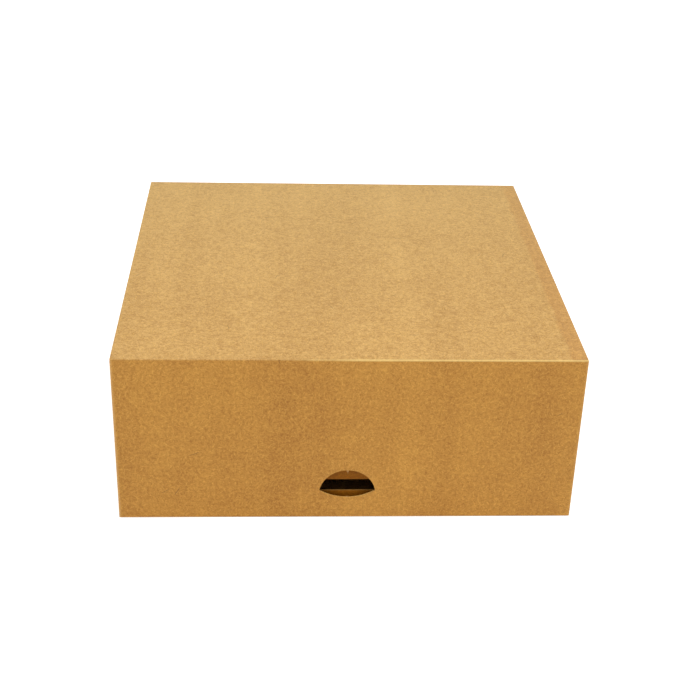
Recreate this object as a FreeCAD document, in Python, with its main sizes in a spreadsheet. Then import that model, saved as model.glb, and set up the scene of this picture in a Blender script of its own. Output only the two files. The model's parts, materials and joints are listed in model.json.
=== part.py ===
# Kraft board tray box: a glued tray, the lid hinged on its back wall, and the front flap
# hinged on the lid. The origin is the middle of the closed box's footprint, on the floor.
# The front flap faces -Y and the lid's hinge is at +Y.
import FreeCAD, Part
import math
import os
import re
import Sketcher

# Driving sizes, in millimetres and degrees
drivingSizes = [
    ("lid_width", 254.0),       # lid and front flap, across the box
    ("tray_depth", 254.0),      # tray, front wall to back wall
    ("box_height", 101.0),      # floor to the closed lid's top
    ("board", 0.8),             # thickness of the board
    ("fold_inside", 0.2),       # inner radius of a fixed fold
    ("side_inset", 0.5),        # side walls stand this far in from the lid's edges
    ("flap_gap", 3.0),          # space between the front wall and the front flap
    ("floor_gap", 0.5),         # front flap's lower edge above the floor
    ("lid_gap", 0.2),           # walls' top edges below the lid
    ("crease_gap", 0.05),       # clearance round the rounded bead of a hinge crease
    ("lid_relief", 47.0),       # bevel of the rear crease, which lets the lid fold right back
    ("flap_relief", 3.0),       # bevel of the front crease
    ("corner_notch", 1.5),      # cut-out above the fold at each bottom corner
    ("tab_length", 38.0),       # glue tabs, from the side wall inwards
    ("tab_taper", 7.0),         # how much a tab narrows at each end
    ("tab_clear", 2.0),         # tab's root away from the folds above and below it
    ("dust_length", 42.0),      # dust flaps, from the side wall inwards
    ("dust_taper", 16.0),       # how much a dust flap narrows at each end
    ("hole_width", 31.2),       # finger hole in the front flap
    ("hole_rise", 13.3),        # its upper arc above its widest line
    ("hole_drop", 4.6),         # its lower arc below that line
    ("hole_level", 18.2),       # that line above the floor
    ("nick_width", 1.0),        # torn bridges left in the hole
    ("upper_nick", 1.6),
    ("lower_nick", 0.5),
    ("slot_width", 38.0),       # slot in the tray's front wall
    ("slot_height", 7.5),
    ("slot_level", 15.7),       # its lower edge above the floor
]

# Sizes worked out from them
workedSizes = [
    ("half_lid", "=lid_width / 2"),
    ("half_tray", "=half_lid - side_inset"),
    ("back_face", "=(tray_depth + flap_gap + board) / 2"),
    ("flap_face", "=-back_face"),
    ("front_face", "=back_face - tray_depth"),
    ("front_inside", "=front_face + board"),
    ("back_inside", "=back_face - board"),
    ("middle", "=(front_face + back_face) / 2"),
    ("fold_outside", "=board + fold_inside"),
    ("wall_top", "=box_height - board - lid_gap"),
    ("seat_radius", "=board / 2"),
    ("crease_radius", "=seat_radius - crease_gap"),
    ("hinge_height", "=box_height - seat_radius"),
    ("rear_hinge", "=back_face - seat_radius"),
    ("front_hinge", "=flap_face + seat_radius"),
    ("mitre", "=board - seat_radius"),
    ("lid_bevel", "=seat_radius * tan(lid_relief * 1 deg)"),
    ("flap_bevel", "=seat_radius * tan(flap_relief * 1 deg)"),
]

doc = FreeCAD.newDocument("tray_box")
sheet = doc.addObject("Spreadsheet::Sheet", "sizes")
for row, (name, content) in enumerate(drivingSizes + workedSizes, start=1):
    sheet.set("A%d" % row, name)
    sheet.set("B%d" % row, str(content))
    sheet.setAlias("B%d" % row, name)
doc.recompute()

sizeNames = re.compile(r"\b(%s)\b" % "|".join(name for name, content in drivingSizes + workedSizes))


# A size or sum of sizes, written with the sheet's names, as the document's other objects read it
def fromSheet(text):
    return sizeNames.sub(r"sizes.\1", text)


def number(text):
    return float(sheet.evalExpression(fromSheet(text)))


# Outlines are closed lists of corners and arcs, each placed by sizes of the sheet
def corner(across, up):
    return {"across": across, "up": up}


def arc(across, up, radius, first, last):
    return {"across": across, "up": up, "radius": radius, "first": first, "last": last}


def onArc(item, degrees):
    turn = math.radians(degrees)
    reach = number(item["radius"])
    return FreeCAD.Vector(number(item["across"]) + reach * math.cos(turn),
                          number(item["up"]) + reach * math.sin(turn), 0)


def startOf(item):
    if "radius" in item:
        return onArc(item, item["first"])
    return FreeCAD.Vector(number(item["across"]), number(item["up"]), 0)


def endOf(item):
    return onArc(item, item["last"]) if "radius" in item else startOf(item)


def bind(sketch, kind, where, text):
    index = sketch.addConstraint(Sketcher.Constraint(kind, *where, number(text)))
    sketch.setExpression("Constraints[%d]" % index, fromSheet(text))


# An end of an arc lies beside its centre, above or below it, or at a fixed slope from it
def bindArcEnd(sketch, edge, point, item, degrees):
    if degrees % 180 == 0:
        sketch.addConstraint(Sketcher.Constraint("Horizontal", edge, 3, edge, point))
    elif degrees % 90 == 0:
        sketch.addConstraint(Sketcher.Constraint("Vertical", edge, 3, edge, point))
    else:
        bind(sketch, "DistanceX", (edge, 3, edge, point), "(%s) * cos(%s deg)" % (item["radius"], degrees))


def addArc(sketch, item):
    centre = FreeCAD.Vector(number(item["across"]), number(item["up"]), 0)
    circle = Part.Circle(centre, FreeCAD.Vector(0, 0, 1), number(item["radius"]))
    low, high = sorted((item["first"], item["last"]))
    edge = sketch.addGeometry(Part.ArcOfCircle(circle, math.radians(low), math.radians(high)))
    first, last = (1, 2) if item["last"] > item["first"] else (2, 1)
    bind(sketch, "DistanceX", (-1, 1, edge, 3), item["across"])
    bind(sketch, "DistanceY", (-1, 1, edge, 3), item["up"])
    bind(sketch, "Radius", (edge,), item["radius"])
    bindArcEnd(sketch, edge, first, item, item["first"])
    bindArcEnd(sketch, edge, last, item, item["last"])
    return edge, first, last


def addLine(sketch, item, following):
    edge = sketch.addGeometry(Part.LineSegment(endOf(item), startOf(following)))
    if "radius" not in following:
        bind(sketch, "DistanceX", (-1, 1, edge, 2), following["across"])
        bind(sketch, "DistanceY", (-1, 1, edge, 2), following["up"])
    return edge, 1, 2


def addOutline(sketch, outline):
    edges = []
    for item, following in zip(outline, outline[1:] + outline[:1]):
        if "radius" in item:
            edges.append(addArc(sketch, item))
        edges.append(addLine(sketch, item, following))
    for (edge, first, last), (other, otherFirst, otherLast) in zip(edges, edges[1:] + edges[:1]):
        sketch.addConstraint(Sketcher.Constraint("Coincident", edge, last, other, otherFirst))


def rectangle(left, right, low, high):
    return [corner(left, low), corner(right, low), corner(right, high), corner(left, high)]


def newBody(label):
    body = doc.addObject("PartDesign::Body", label)
    body.Label = label
    return body


def originPlane(body, role):
    return [item for item in body.Origin.OriginFeatures if item.Role == role][0]


# The planes' normals point to +X for YZ, -Y for XZ and +Z for XY; the sketch is moved along them
def newSketch(body, name, plane, moved="0 * board"):
    sketch = body.newObject("Sketcher::SketchObject", name)
    sketch.AttachmentSupport = [(originPlane(body, plane), "")]
    sketch.MapMode = "FlatFace"
    sketch.setExpression("AttachmentOffset.Base.z", fromSheet(moved))
    return sketch


def newOutline(body, name, plane, outlines, moved="0 * board"):
    sketch = newSketch(body, name, plane, moved)
    for outline in outlines:
        addOutline(sketch, outline)
    doc.recompute()
    return sketch


def newPad(body, sketch, name, length, side="One side"):
    pad = body.newObject("PartDesign::Pad", name)
    pad.Profile = sketch
    pad.SideType = side
    pad.setExpression("Length", fromSheet(length))
    doc.recompute()
    return pad


# A pocket that points away from the board would remove nothing, so the volumes are compared
def newPocket(body, sketch, name, length):
    before = body.Shape.Volume
    pocket = body.newObject("PartDesign::Pocket", name)
    pocket.Profile = sketch
    pocket.SideType = "Symmetric"
    pocket.setExpression("Length", fromSheet(length))
    doc.recompute()
    if body.Shape.Volume >= before:
        raise ValueError(name + " removes nothing")
    return pocket


# Front wall, base and back wall in one strip, with the bead of the lid's crease on top
def wallStrip():
    return [
        corner("front_face", "wall_top"),
        arc("front_face + fold_outside", "fold_outside", "fold_outside", 180, 270),
        arc("back_face - fold_outside", "fold_outside", "fold_outside", 270, 360),
        corner("back_face", "hinge_height - lid_bevel"),
        arc("rear_hinge", "hinge_height", "crease_radius", -45, 225),
        corner("back_inside", "hinge_height - mitre"),
        arc("back_face - fold_outside", "fold_outside", "fold_inside", 0, -90),
        arc("front_face + fold_outside", "fold_outside", "fold_inside", 270, 180),
        corner("front_inside", "wall_top"),
    ]


# Right side wall with its fold to the base and the fold of its dust flap
def sideWall():
    return [
        corner("half_tray - fold_outside - board", "0 * board"),
        arc("half_tray - fold_outside", "fold_outside", "fold_outside", -90, 0),
        arc("half_tray - fold_outside", "wall_top - fold_outside", "fold_outside", 0, 90),
        corner("half_tray - fold_outside - board", "wall_top"),
        corner("half_tray - fold_outside - board", "wall_top - board"),
        arc("half_tray - fold_outside", "wall_top - fold_outside", "fold_inside", 90, 0),
        arc("half_tray - fold_outside", "fold_outside", "fold_inside", 0, -90),
        corner("half_tray - fold_outside - board", "board"),
    ]


# Upright fold at one end of the side wall, seen from above, with the root of its glue tab
def tabFold(face, towards):
    centre = "%s %s fold_outside" % (face, towards)
    turn = -90 if towards == "+" else 90
    return [
        arc("half_tray - fold_outside", centre, "fold_outside", 0, turn),
        corner("half_tray - fold_outside - board", face),
        corner("half_tray - fold_outside - board", "%s %s board" % (face, towards)),
        arc("half_tray - fold_outside", centre, "fold_inside", turn, 0),
    ]


# Glue tab, seen from the front, narrower at its free end
def glueTab():
    return [
        corner("half_tray - fold_outside", "fold_outside + tab_clear"),
        corner("half_tray - fold_outside", "wall_top - fold_outside - tab_clear"),
        corner("half_tray - tab_length", "wall_top - fold_outside - tab_clear - tab_taper"),
        corner("half_tray - tab_length", "fold_outside + tab_clear + tab_taper"),
    ]


# Dust flap, seen from above, folded in under the lid
def dustFlap():
    root = "half_tray - fold_outside"
    edge = "half_tray - dust_length"
    return [
        corner(root, "front_inside + 2 * fold_outside"),
        corner(edge, "front_inside + 2 * fold_outside + dust_taper"),
        corner(edge, "back_inside - 2 * fold_outside - dust_taper"),
        corner(root, "back_inside - 2 * fold_outside"),
    ]


# Everything beside the base's side folds goes, which leaves the notches at the four corners
def cornerNotches():
    inner = "half_tray - fold_outside"
    outer = "half_tray + board"
    return [
        rectangle(inner, outer, "-board", "fold_outside + corner_notch"),
        rectangle("-(%s)" % outer, "-(%s)" % inner, "-board", "fold_outside + corner_notch"),
    ]


def makeTray():
    body = newBody("tray")
    strip = newOutline(body, "WallStripOutline", "YZ_Plane", [wallStrip()])
    newPad(body, strip, "WallStrip", "2 * half_tray", "Symmetric")
    notches = newOutline(body, "NotchOutline", "XZ_Plane", cornerNotches())
    newPocket(body, notches, "CornerNotches", "4 * back_face")

    side = newOutline(body, "SideWallOutline", "XZ_Plane", [sideWall()], "-middle")
    sidePad = newPad(body, side, "SideWall", "back_inside - front_inside - 2 * fold_outside", "Symmetric")
    tabBottom = "fold_outside + tab_clear"
    tabHeight = "wall_top - 2 * fold_outside - 2 * tab_clear"
    copied = [sidePad]
    for end, face, towards, back in (("Front", "front_inside", "+", "-front_inside - board"),
                                     ("Back", "back_inside", "-", "-back_inside")):
        fold = newOutline(body, end + "FoldOutline", "XY_Plane", [tabFold(face, towards)], tabBottom)
        copied.append(newPad(body, fold, end + "Fold", tabHeight))
        tab = newOutline(body, end + "TabOutline", "XZ_Plane", [glueTab()], back)
        copied.append(newPad(body, tab, end + "Tab", "board"))
    dust = newOutline(body, "DustFlapOutline", "XY_Plane", [dustFlap()], "wall_top - board")
    copied.append(newPad(body, dust, "DustFlap", "board"))

    otherSide = body.newObject("PartDesign::Mirrored", "OtherSide")
    otherSide.Originals = copied
    otherSide.MirrorPlane = (originPlane(body, "YZ_Plane"), [""])
    body.Tip = otherSide
    doc.recompute()

    slot = rectangle("-slot_width / 2", "slot_width / 2", "slot_level", "slot_level + slot_height")
    slotSketch = newOutline(body, "SlotOutline", "XZ_Plane", [slot], "-front_face")
    newPocket(body, slotSketch, "LockSlot", "4 * board")
    return body


# Lid panel from the seat round the rear bead to its own bead at the front
def lidPanel():
    return [
        corner("rear_hinge - lid_bevel", "box_height"),
        corner("front_hinge", "box_height"),
        arc("front_hinge", "hinge_height", "crease_radius", 90, 315),
        corner("front_hinge + mitre", "box_height - board"),
        corner("rear_hinge - mitre", "box_height - board"),
        arc("rear_hinge", "hinge_height", "seat_radius", 225, 135),
    ]


def makeLid():
    body = newBody("lid")
    panel = newOutline(body, "PanelOutline", "YZ_Plane", [lidPanel()])
    newPad(body, panel, "Panel", "lid_width", "Symmetric")
    return body


# Front flap, hanging from the seat round the front bead
def flapPanel():
    return [
        corner("flap_face", "floor_gap"),
        corner("flap_face + board", "floor_gap"),
        corner("flap_face + board", "hinge_height - mitre"),
        arc("front_hinge", "hinge_height", "seat_radius", 315, 225),
        corner("flap_face", "hinge_height - flap_bevel"),
    ]


# Arc through the hole's two cusps, bulging by the given rise; its centre is on the middle line
def addHoleArc(sketch, rise, upper):
    radius = "(hole_width * hole_width / 4 + {0} * {0}) / (2 * {0})".format(rise)
    sign = 1 if upper else -1
    centre = FreeCAD.Vector(0, number("hole_level") + sign * (number(rise) - number(radius)), 0)
    circle = Part.Circle(centre, FreeCAD.Vector(0, 0, 1), number(radius))
    half = math.asin(number("hole_width / 2") / number(radius))
    top = sign * math.pi / 2
    edge = sketch.addGeometry(Part.ArcOfCircle(circle, top - half, top + half))
    bind(sketch, "Radius", (edge,), radius)
    return edge


def addFingerHole(sketch):
    upper = addHoleArc(sketch, "hole_rise", True)
    lower = addHoleArc(sketch, "hole_drop", False)
    sketch.addConstraint(Sketcher.Constraint("Coincident", upper, 2, lower, 1))
    sketch.addConstraint(Sketcher.Constraint("Coincident", upper, 1, lower, 2))
    for point, across in ((1, "hole_width / 2"), (2, "-hole_width / 2")):
        bind(sketch, "DistanceX", (-1, 1, upper, point), across)
        bind(sketch, "DistanceY", (-1, 1, upper, point), "hole_level")
    doc.recompute()


# Bridges of board torn off when the hole's blank was pushed out, at the top and bottom of the hole
def nicks():
    top = "hole_level + hole_rise"
    bottom = "hole_level - hole_drop"
    left, right = "-nick_width / 2", "nick_width / 2"
    return [
        rectangle(left, right, top + " - upper_nick", top + " + board"),
        rectangle(left, right, bottom + " - board", bottom + " + lower_nick"),
    ]


def makeFrontFlap():
    body = newBody("front_flap")
    panel = newOutline(body, "PanelOutline", "YZ_Plane", [flapPanel()])
    newPad(body, panel, "Panel", "lid_width", "Symmetric")
    hole = newSketch(body, "FingerHoleOutline", "XZ_Plane", "-flap_face")
    addFingerHole(hole)
    newPocket(body, hole, "FingerHole", "4 * board")
    bridges = newOutline(body, "NickOutline", "XZ_Plane", nicks(), "-flap_face - board")
    newPad(body, bridges, "Nicks", "board")
    return body


def isSound(item):
    return not {"Invalid", "Error"} & set(item.State)


bodies = [makeTray(), makeLid(), makeFrontFlap()]
doc.recompute()
broken = [item.Name for item in doc.Objects if not isSound(item)]
if broken:
    raise ValueError("broken objects: " + ", ".join(broken))
for body in bodies:
    if body.Shape.isNull() or not body.Shape.isValid() or len(body.Shape.Solids) != 1:
        raise ValueError(body.Label + " isn't one sound solid")

os.makedirs("parts", exist_ok=True)
for body in bodies:
    body.Shape.exportStep("parts/%s.step" % body.Label)
    bounds = body.Shape.BoundBox
    print(body.Label, "volume %.0f mm3," % body.Shape.Volume,
          "x %.2f to %.2f, y %.2f to %.2f," % (bounds.XMin, bounds.XMax, bounds.YMin, bounds.YMax),
          "z %.2f to %.2f" % (bounds.ZMin, bounds.ZMax))
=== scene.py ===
# Kraft board tray box, closed, seen from the front and above
import json
import math
import random

import bmesh
import bpy
from mathutils import Euler, Matrix, Vector


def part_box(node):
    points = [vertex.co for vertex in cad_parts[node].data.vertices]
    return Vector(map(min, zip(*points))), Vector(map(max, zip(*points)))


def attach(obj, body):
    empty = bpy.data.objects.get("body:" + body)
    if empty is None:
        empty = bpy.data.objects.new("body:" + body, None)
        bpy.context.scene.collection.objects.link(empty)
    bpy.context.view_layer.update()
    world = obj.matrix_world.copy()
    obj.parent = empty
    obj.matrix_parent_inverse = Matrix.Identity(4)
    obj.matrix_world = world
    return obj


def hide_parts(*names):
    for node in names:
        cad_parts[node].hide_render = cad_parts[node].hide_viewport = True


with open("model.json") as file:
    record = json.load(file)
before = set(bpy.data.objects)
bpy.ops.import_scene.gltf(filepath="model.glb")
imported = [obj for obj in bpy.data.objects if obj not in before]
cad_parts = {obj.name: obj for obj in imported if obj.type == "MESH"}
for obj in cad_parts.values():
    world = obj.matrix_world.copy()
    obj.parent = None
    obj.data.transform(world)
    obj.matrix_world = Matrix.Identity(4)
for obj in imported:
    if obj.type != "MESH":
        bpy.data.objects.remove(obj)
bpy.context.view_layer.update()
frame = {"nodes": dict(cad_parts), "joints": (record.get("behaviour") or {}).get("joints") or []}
bpy.context.scene.view_settings.view_transform = "Standard"

# view and light
cameraSetup = {
    "place": (-0.0399, -0.7374, 0.4339),
    "yaw": 3.653,          # degrees to the right of straight back
    "pitch": 28.189,       # degrees down
    "roll": 1.917,
    "lens": 67.64,
}
lightSetup = {
    "aim": (0, 0, 0.05),
    "worldFill": 0.62,
    "keyPlace": (0.62, -0.42, 1.2),
    "keySize": 0.8,
    "keyPower": 8.0,
    "fillPlace": (-0.8, -0.36, 1.3),
    "fillSize": 1.2,
    "fillPower": 8.8,
}
floorSetup = {
    "size": 6.0,
    "tone": (0.82, 0.82, 0.82),
    "roughness": 0.9,
    "specular": 0.1,
    "lift": 0.55,          # added where the floor is looked at, so that it reads white
}


def selectOnly(obj):
    bpy.ops.object.select_all(action="DESELECT")
    obj.select_set(True)
    bpy.context.view_layer.objects.active = obj


def addCamera():
    print("camera")
    setup = cameraSetup
    bpy.ops.object.camera_add(location=setup["place"])
    camera = bpy.context.object
    camera.name = "photoCamera"
    aim = Euler((math.radians(90 - setup["pitch"]), 0, -math.radians(setup["yaw"]))).to_matrix()
    turned = aim @ Matrix.Rotation(math.radians(setup["roll"]), 3, "Z")
    camera.rotation_euler = turned.to_euler()
    camera.data.lens = setup["lens"]
    camera.data.clip_start = 0.01
    bpy.context.scene.camera = camera


# nodes: a short way to add one and to feed its sockets
def addNode(tree, kind, place, inputs=None, **settings):
    node = tree.nodes.new(kind)
    node.location = place
    for name, value in settings.items():
        setattr(node, name, value)
    for name, value in (inputs or {}).items():
        if isinstance(value, bpy.types.NodeSocket):
            tree.links.new(value, node.inputs[name])
        else:
            node.inputs[name].default_value = value
    return node


def addMath(tree, operation, place, *values, clamp=False):
    inputs = {index: value for index, value in enumerate(values)}
    return addNode(tree, "ShaderNodeMath", place, inputs, operation=operation, use_clamp=clamp).outputs[0]


def addLights():
    print("lights")
    setup = lightSetup
    for name in ("key", "fill"):
        bpy.ops.object.light_add(type="AREA", location=setup[name + "Place"])
        lamp = bpy.context.object
        lamp.name = name + "Softbox"
        lamp.data.size = setup[name + "Size"]
        lamp.data.energy = setup[name + "Power"]
        towards = Vector(setup["aim"]) - lamp.location
        lamp.rotation_euler = towards.to_track_quat("-Z", "Y").to_euler()
    world = bpy.data.worlds.new("studioSurround")
    bpy.context.scene.world = world
    world.use_nodes = True
    tree = world.node_tree
    tree.nodes.clear()
    seen = addSeenMask(tree, (-600, 0))
    strength = addMath(tree, "MULTIPLY_ADD", (-200, 0), seen, 1 - setup["worldFill"], setup["worldFill"])
    back = addNode(tree, "ShaderNodeBackground", (0, 0), {"Color": (1, 1, 1, 1), "Strength": strength})
    out = addNode(tree, "ShaderNodeOutputWorld", (200, 0))
    tree.links.new(back.outputs[0], out.inputs[0])


# 1 where the camera, a reflection or clear glass looks straight at the surround or the floor
def addSeenMask(tree, place):
    rays = addNode(tree, "ShaderNodeLightPath", place)
    direct = addMath(tree, "ADD", (place[0] + 200, place[1]), rays.outputs["Is Camera Ray"],
                     rays.outputs["Is Glossy Ray"])
    return addMath(tree, "ADD", (place[0] + 300, place[1]), direct, rays.outputs["Is Transmission Ray"],
                   clamp=True)


def addFloor():
    print("floor")
    bpy.ops.mesh.primitive_plane_add(size=floorSetup["size"], location=(0, 0, 0))
    floor = bpy.context.object
    floor.name = "paleFloor"
    material = bpy.data.materials.new("paleFloor")
    material.use_nodes = True
    tree = material.node_tree
    shader = tree.nodes["Principled BSDF"]
    shader.inputs["Base Color"].default_value = (*floorSetup["tone"], 1)
    shader.inputs["Roughness"].default_value = floorSetup["roughness"]
    shader.inputs["Specular IOR Level"].default_value = floorSetup["specular"]
    seen = addSeenMask(tree, (-700, -200))
    shader.inputs["Emission Color"].default_value = (1, 1, 1, 1)
    lift = addMath(tree, "MULTIPLY", (-200, -300), seen, floorSetup["lift"])
    tree.links.new(lift, shader.inputs["Emission Strength"])
    floor.data.materials.append(material)


nearly = 1e-6          # metres, for finding vertices by place


# board sheets: selecting by place, extruding a row, spinning a row about a crease
def startEdit(obj):
    selectOnly(obj)
    bpy.ops.object.mode_set(mode="EDIT")
    bpy.ops.mesh.select_mode(type="VERT")


def pick(obj, test, kind="VERT"):
    mesh = bmesh.from_edit_mesh(obj.data)
    for item in (*mesh.verts, *mesh.edges, *mesh.faces):
        item.select = False
    for item in mesh.edges if kind == "EDGE" else mesh.verts:
        if test(item):
            item.select = True
    mesh.select_flush_mode()
    bmesh.update_edit_mesh(obj.data)


def extrudeTo(step, times=1):
    short = tuple(part / times for part in step)
    for turn in range(times):
        bpy.ops.mesh.extrude_region_move(TRANSFORM_OT_translate={"value": short})


# degrees above zero turn +Y towards +Z
def spinRow(centre, degrees, steps):
    bpy.ops.mesh.spin(steps=steps, angle=math.radians(abs(degrees)), center=(0, *centre),
                      axis=(-1 if degrees > 0 else 1, 0, 0))


def closeSheet(obj, halfWidth):
    bpy.ops.mesh.select_all(action="SELECT")
    bpy.ops.mesh.remove_doubles(threshold=0.00001)
    for side in (-1, 1):
        pick(obj, lambda vert: abs(vert.co.x - side * halfWidth) < nearly)
        bpy.ops.mesh.edge_face_add()
    bpy.ops.mesh.select_all(action="SELECT")
    bpy.ops.mesh.normals_make_consistent(inside=False)


# the die leaves a cut edge with its arrises slightly pressed in
def pressEdges(obj, test, width):
    bpy.ops.mesh.select_mode(type="EDGE")
    sharpAngle = 1.0       # radians

    def isSharp(edge):
        return len(edge.link_faces) == 2 and edge.calc_face_angle() > sharpAngle

    pick(obj, lambda edge: isSharp(edge) and test(edge), "EDGE")
    bpy.ops.mesh.bevel(offset=width, segments=2, profile=0.5)
    bpy.ops.mesh.select_mode(type="VERT")


def isAtSide(edge, halfWidth):
    return all(abs(abs(vert.co.x) - halfWidth) < nearly for vert in edge.verts)


# isCut picks the faces that get the second material
def finishPiece(obj, body, node, materials, isCut):
    if obj.mode == "EDIT":
        bpy.ops.object.mode_set(mode="OBJECT")
    for material in materials:
        obj.data.materials.append(material)
    for face in obj.data.polygons:
        face.material_index = 1 if isCut(face) else 0
    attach(obj, body)
    if node:
        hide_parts(node)


# creases and outer faces as the frame has them
creases = {joint["name"]: joint["pos_m"][1:] for joint in frame["joints"]}
lidLow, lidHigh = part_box("lid")
flapLow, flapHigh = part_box("front_flap")
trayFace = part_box("tray")[0][1]
boardThickness = lidHigh[2] - lidLow[2]
creaseGap = 0.00005

boardSize = {
    "thickness": boardThickness,
    "halfWidth": lidHigh[0],
    "seat": boardThickness / 2,
    "bead": boardThickness / 2 - creaseGap,
    "beadTurn": 225,
    "beadSteps": 12,
    "seatTurn": 90,
    "seatSteps": 6,
    "pressed": 0.00012,
    "cells": 24,
}
lidSize = {
    "top": lidHigh[2],
    "rearRelief": 47,          # degrees, lets the lid fold right back
}


def makeLid(materials):
    print("lid")
    board, size = boardSize, lidSize
    half, seat, bead, cells = board["halfWidth"], board["seat"], board["bead"], board["cells"]
    frontY, hingeZ = creases["front_flap_hinge"]
    rearY = creases["lid_hinge"][0]
    edgeY = rearY - seat * math.tan(math.radians(size["rearRelief"]))
    slope = seat * math.sqrt(0.5)
    bpy.ops.object.select_all(action="DESELECT")
    bpy.ops.mesh.primitive_grid_add(x_subdivisions=cells, y_subdivisions=cells, size=1,
                                    location=(0, (frontY + edgeY) / 2, size["top"]))
    lid = bpy.context.object
    lid.name = "lidSheet"
    lid.scale = (2 * half, edgeY - frontY, 1)
    bpy.ops.object.transform_apply(location=True, rotation=True, scale=True)
    startEdit(lid)
    # round bead along the front crease, then the underside, then the seat at the back
    pick(lid, lambda vert: abs(vert.co.y - frontY) < nearly)
    extrudeTo((0, 0, hingeZ + bead - size["top"]))
    spinRow((frontY, hingeZ), board["beadTurn"], board["beadSteps"])
    lowZ = size["top"] - board["thickness"]
    beadEnd = bead * math.sqrt(0.5)
    extrudeTo((0, seat - beadEnd, lowZ - hingeZ + beadEnd))
    extrudeTo((0, rearY - frontY - 2 * seat, 0), cells)
    extrudeTo((0, seat - slope, seat - slope))
    spinRow((rearY, hingeZ), -board["seatTurn"], board["seatSteps"])
    extrudeTo((0, edgeY - rearY + slope, size["top"] - hingeZ - slope))
    closeSheet(lid, half)
    pressEdges(lid, lambda edge: isAtSide(edge, half), board["pressed"])
    finishPiece(lid, "lid", "lid", materials, lambda face: abs(face.normal.x) > 0.5)


flapSize = {
    "face": flapLow[1],
    "bottom": flapLow[2],
    "top": flapHigh[2],
    "holeHalf": 0.0156,
    "holeLevel": 0.0182,       # the hole's widest line above the floor
    "holeRise": 0.0133,
    "holeDrop": 0.0046,
    "holeSides": 192,
}


# disc that meets the hole's two cusps, on the flap's own plane
def addHoleDisc(rise, upwards):
    size = flapSize
    radius = (size["holeHalf"] ** 2 + rise ** 2) / (2 * rise)
    height = size["holeLevel"] + upwards * (rise - radius)
    bpy.ops.object.select_all(action="DESELECT")
    bpy.ops.mesh.primitive_cylinder_add(vertices=size["holeSides"], radius=radius,
                                        depth=5 * boardSize["thickness"],
                                        location=(0, size["face"], height), rotation=(math.pi / 2, 0, 0))
    return bpy.context.object


def applyBoolean(obj, cutter, operation):
    selectOnly(obj)
    cut = obj.modifiers.new("cut", "BOOLEAN")
    cut.operation = operation
    cut.object = cutter
    cut.solver = "EXACT"
    bpy.ops.object.modifier_apply(modifier=cut.name)
    bpy.data.objects.remove(cutter, do_unlink=True)


def makeFlap(materials):
    print("front flap")
    board, size = boardSize, flapSize
    half, seat, cells = board["halfWidth"], board["seat"], board["cells"]
    hingeY, hingeZ = creases["front_flap_hinge"]
    slope = seat * math.sqrt(0.5)
    topZ, bottomZ = size["top"], size["bottom"]
    innerY = size["face"] + board["thickness"]
    bpy.ops.object.select_all(action="DESELECT")
    bpy.ops.mesh.primitive_grid_add(x_subdivisions=cells, y_subdivisions=cells, size=1,
                                    location=(0, size["face"], (topZ + bottomZ) / 2),
                                    rotation=(math.pi / 2, 0, 0))
    flap = bpy.context.object
    flap.name = "frontFlapSheet"
    flap.scale = (2 * half, topZ - bottomZ, 1)
    bpy.ops.object.transform_apply(location=True, rotation=True, scale=True)
    startEdit(flap)
    # seat round the lid's bead, then the inner face, then the lower edge
    pick(flap, lambda vert: abs(vert.co.z - topZ) < nearly)
    extrudeTo((0, hingeY - slope - size["face"], hingeZ - slope - topZ))
    spinRow((hingeY, hingeZ), board["seatTurn"], board["seatSteps"])
    extrudeTo((0, seat - slope, slope - seat))
    extrudeTo((0, 0, bottomZ - hingeZ + seat), cells)
    extrudeTo((0, size["face"] - innerY, 0))
    closeSheet(flap, half)
    pressEdges(flap, lambda edge: isAtSide(edge, half)
               or all(abs(vert.co.z - bottomZ) < nearly for vert in edge.verts), board["pressed"])
    bpy.ops.object.mode_set(mode="OBJECT")
    upper = addHoleDisc(size["holeRise"], 1)
    lower = addHoleDisc(size["holeDrop"], -1)
    applyBoolean(upper, lower, "INTERSECT")
    applyBoolean(flap, upper, "DIFFERENCE")
    finishPiece(flap, "front_flap", "front_flap", materials, lambda face: abs(face.normal.y) < 0.5)


nickSize = {
    "strands": 9,
    "spread": 0.00062,
    "upperReach": 0.0028,
    "lowerReach": 0.0009,
    "upperSeed": 5,
    "lowerSeed": 6,
    "root": 0.0003,                      # inside the board
    "shortest": 0.55,                    # share of the full length
    "roundness": 0.55,                   # how much shorter the outer strands are
    "depth": (0.0003, 0.0005),           # behind the flap's face
    "thickness": (0.00014, 0.00021),     # radius at the root
    "tip": 0.00003,
    "bendAcross": (-0.00006, 0.00006),
    "bendDeep": (-0.00008, 0.00004),
    "lean": (-0.22, 0.22),
    "bendFrom": 0.15,                    # share of the length where the bend begins
    "sides": 6,
    "cuts": 3,
}


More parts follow.
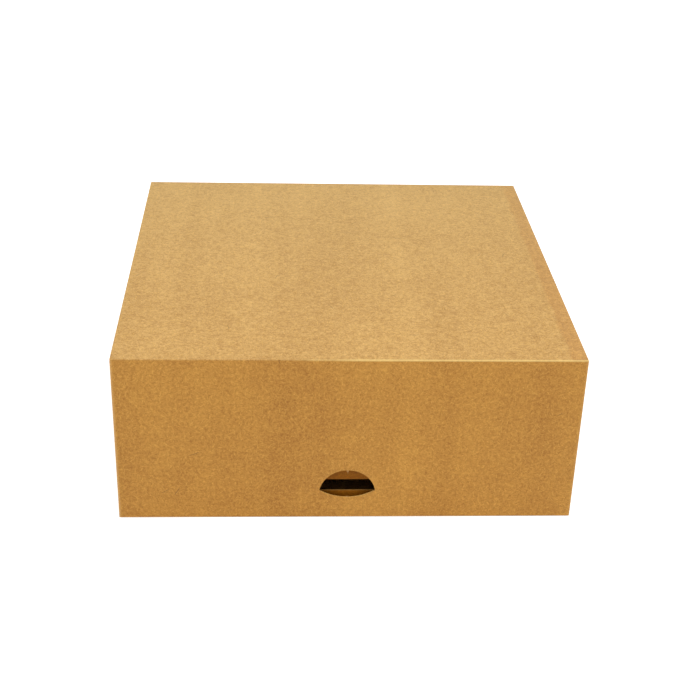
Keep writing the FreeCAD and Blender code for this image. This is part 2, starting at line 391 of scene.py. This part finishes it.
# torn fibres where the hole's blank was still held at top and bottom
def makeNick(name, height, reach, direction, seed, material):
    size = nickSize
    root = size["root"]
    draw = random.Random(seed)
    strands = []
    for number in range(size["strands"]):
        across = (number / (size["strands"] - 1) - 0.5) * 2 * size["spread"]
        bow = 1 - (across / size["spread"]) ** 2 * size["roundness"]
        length = reach * bow * draw.uniform(size["shortest"], 1.0)
        depth = flapSize["face"] + draw.uniform(*size["depth"])
        bpy.ops.object.select_all(action="DESELECT")
        bpy.ops.mesh.primitive_cone_add(vertices=size["sides"], radius1=draw.uniform(*size["thickness"]),
                                        radius2=size["tip"], depth=length + root, location=(0, 0, 0))
        strand = bpy.context.object
        startEdit(strand)
        bpy.ops.mesh.select_all(action="SELECT")
        bpy.ops.mesh.subdivide(number_cuts=size["cuts"])
        pick(strand, lambda vert: vert.co.z > length * size["bendFrom"])
        bend = (draw.uniform(*size["bendAcross"]), draw.uniform(*size["bendDeep"]), 0)
        bpy.ops.transform.translate(value=bend)
        bpy.ops.object.mode_set(mode="OBJECT")
        strand.rotation_euler = (math.pi if direction < 0 else 0, draw.uniform(*size["lean"]), 0)
        strand.location = (across, depth, height + (length - root) / 2 * direction)
        bpy.ops.object.transform_apply(location=True, rotation=True, scale=True)
        strands.append(strand)
    bpy.ops.object.select_all(action="DESELECT")
    for strand in strands:
        strand.select_set(True)
    bpy.context.view_layer.objects.active = strands[0]
    bpy.ops.object.join()
    nick = bpy.context.object
    nick.name = name
    bpy.ops.object.shade_smooth()
    finishPiece(nick, "front_flap", None, (material,), lambda face: False)


# node groups shared by the board's materials
def newGroup(name, inputs, outputs):
    group = bpy.data.node_groups.new(name, "ShaderNodeTree")
    for title, kind, value in inputs:
        socket = group.interface.new_socket(title, in_out="INPUT", socket_type=kind)
        if value is not None:
            socket.default_value = value
    for title, kind in outputs:
        group.interface.new_socket(title, in_out="OUTPUT", socket_type=kind)
    start = addNode(group, "NodeGroupInput", (-1600, 0))
    end = addNode(group, "NodeGroupOutput", (1400, 0))
    return group, start, end


# places on the flat blank, so that a fibre lies in the board whichever way a panel faces
facingShare = 0.6      # of the normal, from which a panel counts as lying flat or facing sideways
panelShift = 0.37      # metres along the blank, so that such panels take other fibres


def makeBlankPlaces():
    group, start, end = newGroup("blankPlaces", [("Height", "NodeSocketFloat", lidSize["top"])],
                                 [("Vector", "NodeSocketVector")])
    coords = addNode(group, "ShaderNodeTexCoord", (-1400, 300))
    place = addNode(group, "ShaderNodeSeparateXYZ", (-1200, 300), {0: coords.outputs["Object"]})
    facing = addNode(group, "ShaderNodeSeparateXYZ", (-1200, 0), {0: coords.outputs["Normal"]})
    steepX = addMath(group, "ABSOLUTE", (-1000, 100), facing.outputs[0])
    steepZ = addMath(group, "ABSOLUTE", (-1000, -100), facing.outputs[2])
    flat = addMath(group, "GREATER_THAN", (-800, -100), steepZ, facingShare)
    side = addMath(group, "GREATER_THAN", (-800, 100), steepX, facingShare)
    drop = addMath(group, "SUBTRACT", (-800, 300), place.outputs[2], start.outputs["Height"])
    across = addNode(group, "ShaderNodeMix", (-500, 200),
                     {0: side, 2: place.outputs[0], 3: place.outputs[1]}).outputs[0]
    along = addNode(group, "ShaderNodeMix", (-500, -100), {0: flat, 2: drop, 3: place.outputs[1]}).outputs[0]
    turned = addMath(group, "ADD", (-650, -300), side, flat)
    layer = addMath(group, "MULTIPLY", (-500, -300), turned, panelShift)
    joined = addNode(group, "ShaderNodeCombineXYZ", (0, 0),
                     {0: addMath(group, "ADD", (-250, 100), across, layer), 1: along, 2: 0.0})
    group.links.new(joined.outputs[0], end.inputs["Vector"])
    return group


# short fibres lying every way: one in each cell, turned by the cell's own number
def makeFibreLayer():
    group, start, end = newGroup(
        "fibreLayer",
        [("Vector", "NodeSocketVector", None), ("Cells per metre", "NodeSocketFloat", 300.0),
         ("Length", "NodeSocketFloat", 0.4), ("Width", "NodeSocketFloat", 0.05),
         ("Share", "NodeSocketFloat", 0.5), ("Bend", "NodeSocketFloat", 0.25)],
        [("Mask", "NodeSocketFloat")])
    scaled = addNode(group, "ShaderNodeVectorMath", (-1400, 0),
                     {0: start.outputs["Vector"], "Scale": start.outputs["Cells per metre"]},
                     operation="SCALE")
    curl = addNode(group, "ShaderNodeTexNoise", (-1200, -250),
                   {"Vector": scaled.outputs[0], "Scale": 1.6, "Detail": 1.0})
    centred = addNode(group, "ShaderNodeVectorMath", (-1000, -250),
                      {0: curl.outputs["Color"], 1: (0.5, 0.5, 0.5)}, operation="SUBTRACT")
    shift = addNode(group, "ShaderNodeVectorMath", (-850, -250),
                    {0: centred.outputs[0], "Scale": start.outputs["Bend"]}, operation="SCALE")
    bent = addNode(group, "ShaderNodeVectorMath", (-700, 0), {0: scaled.outputs[0], 1: shift.outputs[0]},
                   operation="ADD")
    cells = addNode(group, "ShaderNodeTexVoronoi", (-550, 0), {"Vector": bent.outputs[0], "Scale": 1.0},
                    voronoi_dimensions="2D")
    offset = addNode(group, "ShaderNodeVectorMath", (-350, 100),
                     {0: bent.outputs[0], 1: cells.outputs["Position"]}, operation="SUBTRACT")
    numbers = addNode(group, "ShaderNodeSeparateColor", (-350, -100), {0: cells.outputs["Color"]})
    turn = addMath(group, "MULTIPLY", (-200, -100), numbers.outputs[0], math.pi)
    turned = addNode(group, "ShaderNodeVectorRotate", (-50, 50), {"Vector": offset.outputs[0], "Angle": turn},
                     rotation_type="Z_AXIS")
    local = addNode(group, "ShaderNodeSeparateXYZ", (150, 50), {0: turned.outputs[0]})
    reach = addMath(group, "ABSOLUTE", (350, 100), local.outputs[0])
    aside = addMath(group, "ABSOLUTE", (350, -50), local.outputs[1])
    fullWidthTo = 0.6
    ends = addNode(group, "ShaderNodeMapRange", (600, 150),
                   {"Value": reach, "From Min": start.outputs["Length"],
                    "From Max": addMath(group, "MULTIPLY", (350, 250), start.outputs["Length"], fullWidthTo),
                    "To Min": 0.0, "To Max": 1.0})
    strand = addNode(group, "ShaderNodeMapRange", (600, -100),
                     {"Value": aside, "From Min": start.outputs["Width"], "From Max": 0.0,
                      "To Min": 0.0, "To Max": 1.0}, interpolation_type="SMOOTHSTEP")
    chosen = addMath(group, "LESS_THAN", (600, -350), numbers.outputs[1], start.outputs["Share"])
    mask = addMath(group, "MULTIPLY", (850, 0), ends.outputs[0], strand.outputs[0])
    group.links.new(addMath(group, "MULTIPLY", (1050, 0), mask, chosen), end.inputs["Mask"])
    return group


# name, cells per metre, detail and roughness of each scale of clouding
pulpLayers = (
    ("Broad", 14.0, 2.0, 0.5),
    ("Patch", 120.0, 3.0, 0.6),
    ("Clot", 520.0, 2.0, 0.65),
    ("Grain", 1300.0, 2.0, 0.7),
)
streakLayer = {"scale": 45.0, "detail": 3.0, "shares": (1.0, 0.04, 0.04)}


# clouding of the pulp about a middle of zero, and streaks that run from front to back
def makePulpCloud():
    group, start, end = newGroup(
        "pulpCloud",
        [("Vector", "NodeSocketVector", None)]
        + [(title, "NodeSocketFloat", 0.1) for title in ("Broad", "Patch", "Clot", "Grain", "Streak")],
        [("Shade", "NodeSocketFloat")])
    total = 0.0
    for index, (title, scale, detail, roughness) in enumerate(pulpLayers):
        height = 500 - 250 * index
        cloud = addNode(group, "ShaderNodeTexNoise", (-1000, height),
                        {"Vector": start.outputs["Vector"], "Scale": scale, "Detail": detail,
                         "Roughness": roughness})
        centred = addMath(group, "SUBTRACT", (-700, height), cloud.outputs[0], 0.5)
        part = addMath(group, "MULTIPLY", (-400, height), centred, start.outputs[title])
        total = addMath(group, "ADD", (-100, height), total, part)
    drawn = addNode(group, "ShaderNodeVectorMath", (-1200, -550),
                    {0: start.outputs["Vector"], 1: streakLayer["shares"]}, operation="MULTIPLY")
    streak = addNode(group, "ShaderNodeTexNoise", (-1000, -550),
                     {"Vector": drawn.outputs[0], "Scale": streakLayer["scale"],
                      "Detail": streakLayer["detail"]})
    part = addMath(group, "MULTIPLY", (-400, -550),
                   addMath(group, "SUBTRACT", (-700, -550), streak.outputs[0], 0.5), start.outputs["Streak"])
    group.links.new(addMath(group, "ADD", (400, 0), total, part), end.inputs["Shade"])
    return group


# 1 beyond a line across the board, with a soft and wavering border
def makeBeyondLine():
    group, start, end = newGroup(
        "beyondLine",
        [("Vector", "NodeSocketVector", None), ("Value", "NodeSocketFloat", 0.0),
         ("Line", "NodeSocketFloat", 0.0), ("Soft", "NodeSocketFloat", 0.002),
         ("Waver", "NodeSocketFloat", 0.002)],
        [("Mask", "NodeSocketFloat")])
    wave = addNode(group, "ShaderNodeTexNoise", (-1200, -200),
                   {"Vector": start.outputs["Vector"], "Scale": 90.0, "Detail": 3.0})
    shift = addMath(group, "MULTIPLY", (-800, -200),
                    addMath(group, "SUBTRACT", (-1000, -200), wave.outputs[0], 0.5), start.outputs["Waver"])
    value = addMath(group, "ADD", (-600, 0), start.outputs["Value"], shift)
    past = addMath(group, "SUBTRACT", (-400, 0), value, start.outputs["Line"])
    ramp = addNode(group, "ShaderNodeMapRange", (0, 0),
                   {"Value": past, "From Min": 0.0, "From Max": start.outputs["Soft"],
                    "To Min": 0.0, "To Max": 1.0},
                   interpolation_type="SMOOTHSTEP")
    group.links.new(ramp.outputs[0], end.inputs["Mask"])
    return group


kraftLook = {
    "deepTone": (0.270, 0.086, 0.001, 1),
    "paleTone": (0.690, 0.346, 0.056, 1),
    "broad": 0.26,
    "patch": 0.30,
    "clot": 0.80,
    "grain": 0.95,
    "streak": 0.34,
    "roughness": 0.50,
    "specular": 0.35,
    "sheen": 1.0,
    "sheenRoughness": 0.36,
    "sheenTint": (1.0, 0.95, 0.30, 1),
    "bumpStrength": 0.3,
    "bumpDistance": 0.0001,
}
# name, colour, cells per metre, length and half width in cells, share of cells, strength
kraftFibres = (
    ("pale", (0.76, 0.42, 0.075, 1), 330.0, 0.46, 0.075, 0.75, 0.5),
    ("brown", (0.27, 0.100, 0.006, 1), 270.0, 0.46, 0.065, 0.7, 0.5),
    ("dark", (0.09, 0.035, 0.010, 1), 120.0, 0.40, 0.030, 0.02, 0.8),
)


def makeKraft(name, groups, look, marks=()):
    material = bpy.data.materials.new(name)
    material.use_nodes = True
    tree = material.node_tree
    shader = tree.nodes["Principled BSDF"]
    coords = addNode(tree, "ShaderNodeTexCoord", (-2400, 300))
    place = coords.outputs["Object"]
    cloud = addNode(tree, "ShaderNodeGroup", (-1900, 300), node_tree=groups["cloud"])
    tree.links.new(place, cloud.inputs["Vector"])
    for title in ("Broad", "Patch", "Clot", "Grain", "Streak"):
        cloud.inputs[title].default_value = look[title.lower()]
    level = addMath(tree, "ADD", (-1600, 300), cloud.outputs[0], 0.5, clamp=True)
    colour = addNode(tree, "ShaderNodeMix", (-1400, 300),
                     {0: level, 6: look["deepTone"], 7: look["paleTone"]}, data_type="RGBA").outputs[2]
    height = cloud.outputs[0]
    places = addNode(tree, "ShaderNodeGroup", (-2200, -200), node_tree=groups["places"])
    for index, (title, tint, cells, length, width, share, weight) in enumerate(kraftFibres):
        layer = addNode(tree, "ShaderNodeGroup", (-1900, -200 - index * 300), node_tree=groups["fibre"])
        tree.links.new(places.outputs[0], layer.inputs["Vector"])
        layer.inputs["Cells per metre"].default_value = cells
        layer.inputs["Length"].default_value = length
        layer.inputs["Width"].default_value = width
        layer.inputs["Share"].default_value = share
        amount = addMath(tree, "MULTIPLY", (-1600, -200 - index * 300), layer.outputs[0], weight)
        colour = addNode(tree, "ShaderNodeMix", (-1200 + 200 * index, 200), {0: amount, 6: colour, 7: tint},
                         data_type="RGBA").outputs[2]
        if title == "pale":
            height = addMath(tree, "ADD", (-1000, -400), height, amount)
    split = addNode(tree, "ShaderNodeSeparateXYZ", (-2200, 700), {0: place})
    for index, mark in enumerate(marks):
        amount = mark["strength"]
        for number, (axis, sign, line, soft, waver) in enumerate(mark["bounds"]):
            spot = (-1900 + 300 * number, 900 + 300 * index)
            value = addMath(tree, "MULTIPLY", (spot[0] - 150, spot[1]), split.outputs[axis], sign)
            edge = addNode(tree, "ShaderNodeGroup", spot, node_tree=groups["beyond"])
            tree.links.new(place, edge.inputs["Vector"])
            tree.links.new(value, edge.inputs["Value"])
            edge.inputs["Line"].default_value = line
            edge.inputs["Soft"].default_value = soft
            edge.inputs["Waver"].default_value = waver
            amount = addMath(tree, "MULTIPLY", (spot[0] + 150, spot[1]), edge.outputs[0], amount)
        colour = addNode(tree, "ShaderNodeMix", (-500 + 150 * index, 300),
                         {0: amount, 6: colour, 7: mark["tint"]}, data_type="RGBA",
                         blend_type=mark["blend"]).outputs[2]
    tree.links.new(colour, shader.inputs["Base Color"])
    shader.inputs["Roughness"].default_value = look["roughness"]
    shader.inputs["Specular IOR Level"].default_value = look["specular"]
    shader.inputs["Sheen Weight"].default_value = look["sheen"]
    shader.inputs["Sheen Roughness"].default_value = look["sheenRoughness"]
    shader.inputs["Sheen Tint"].default_value = look["sheenTint"]
    bump = addNode(tree, "ShaderNodeBump", (-200, -300),
                   {"Strength": look["bumpStrength"], "Distance": look["bumpDistance"], "Height": height})
    tree.links.new(bump.outputs[0], shader.inputs["Normal"])
    return material


# each mark: how it is laid on, tint, strength, and the lines that it lies beyond
# a line: axis, which way is beyond, place, width of the soft border, waver
halfWidth = boardSize["halfWidth"]
frontCrease, creaseHeight = creases["front_flap_hinge"]
rearCrease = creases["lid_hinge"][0]
rightHalf = ("X", 1, -0.045, 0.06, 0.03)
rightEdgePaintedShade = (0.90, 0.78, 0.60, 1)
rearCreasePaintedShade = (0.84, 0.78, 0.60, 1)
stretchedCreaseAndHighlight = (0.86, 0.62, 0.22, 1)
lidMarks = (
    # painted shade: a darker band along the right edge, and a narrow one along the rounded rear crease
    {"blend": "MULTIPLY", "tint": rightEdgePaintedShade, "strength": 0.9,
     "bounds": (("X", 1, halfWidth - 0.0102, 0.003, 0.006),)},
    {"blend": "MULTIPLY", "tint": rearCreasePaintedShade, "strength": 0.7,
     "bounds": (("Y", 1, rearCrease - 0.0023, 0.002, 0.002),)},
    # the underside, multiplied back to the flap's own tone, without the painted sheen of the lid's tones
    {"blend": "MULTIPLY", "tint": (0.95, 0.83, 0.42, 1), "strength": 1.0,
     "bounds": (("Z", -1, 0.0006 - lidSize["top"], 0.0001, 0.0),)},
    # paler stretched board and a painted highlight along the front crease, on its right half
    {"blend": "MIX", "tint": stretchedCreaseAndHighlight, "strength": 0.62,
     "bounds": (("Y", -1, -0.00055 - frontCrease, 0.0003, 0.0004), rightHalf)},
)
flapMarks = (
    # pale rims at the left and right: painted highlight where the rounded corners catch the light, with some
    # edge wear; and the same stretched crease with its painted highlight
    {"blend": "MIX", "tint": (0.70, 0.42, 0.15, 1), "strength": 0.5,
     "bounds": (("X", -1, halfWidth - 0.0015, 0.001, 0.0006),)},
    {"blend": "MIX", "tint": (0.66, 0.38, 0.12, 1), "strength": 0.25,
     "bounds": (("X", 1, halfWidth - 0.0015, 0.001, 0.0006),)},
    {"blend": "MIX", "tint": stretchedCreaseAndHighlight, "strength": 0.5,
     "bounds": (("Z", 1, creaseHeight - 0.0005, 0.0004, 0.0002), rightHalf)},
)
trayMarks = (
    # painted shade: the front wall's face, darker and browner, as the light reaches it only through the hole;
    # the tint also takes back the painted sheen of the tray's tones
    {"blend": "MULTIPLY", "tint": (0.54, 0.365, 0.075, 1), "strength": 1.0,
     "bounds": (("Y", -1, -0.0002 - trayFace, 0.0001, 0.0),)},
)


def dressCad(names, material):
    for name in names:
        for slot in frame["nodes"][name].material_slots:
            slot.material = material


addCamera()
addLights()
addFloor()
print("materials")
groups = {
    "places": makeBlankPlaces(),
    "fibre": makeFibreLayer(),
    "cloud": makePulpCloud(),
    "beyond": makeBeyondLine(),
}
# the tray's tones are paler and bluer than the flap's while its real sheen is low: painted sheen, so that its
# walls look like the flap
trayLook = dict(kraftLook, deepTone=(0.290, 0.110, 0.016, 1), paleTone=(0.720, 0.390, 0.110, 1),
                sheen=0.1, specular=0.1)
trayKraft = makeKraft("trayKraft", groups, trayLook, trayMarks)
# the lid's tones are paler and bluer than the flap's: painted sheen of the top, seen at a grazing angle
lidLook = dict(kraftLook, deepTone=(0.275, 0.100, 0.001, 1), paleTone=(0.710, 0.420, 0.130, 1),
               broad=0.20, clot=0.95, grain=1.30, streak=0.28, sheenTint=(1.0, 0.95, 0.38, 1))
lidKraft = makeKraft("lidKraft", groups, lidLook, lidMarks)
flapKraft = makeKraft("flapKraft", groups, kraftLook, flapMarks)
cutLook = dict(kraftLook, deepTone=(0.36, 0.16, 0.02, 1), paleTone=(0.80, 0.46, 0.13, 1),
               roughness=0.75, sheen=0.2)
cutKraft = makeKraft("cutKraft", groups, cutLook)
tornLook = dict(cutLook, deepTone=(0.42, 0.20, 0.05, 1), paleTone=(0.70, 0.42, 0.16, 1))
tornKraft = makeKraft("tornKraft", groups, tornLook)
makeLid((lidKraft, cutKraft))
makeFlap((flapKraft, cutKraft))
holeTop = flapSize["holeLevel"] + flapSize["holeRise"]
holeBottom = flapSize["holeLevel"] - flapSize["holeDrop"]
makeNick("upperNick", holeTop, nickSize["upperReach"], -1, nickSize["upperSeed"], tornKraft)
makeNick("lowerNick", holeBottom, nickSize["lowerReach"], 1, nickSize["lowerSeed"], tornKraft)
dressCad(("tray", "lid", "front_flap"), trayKraft)
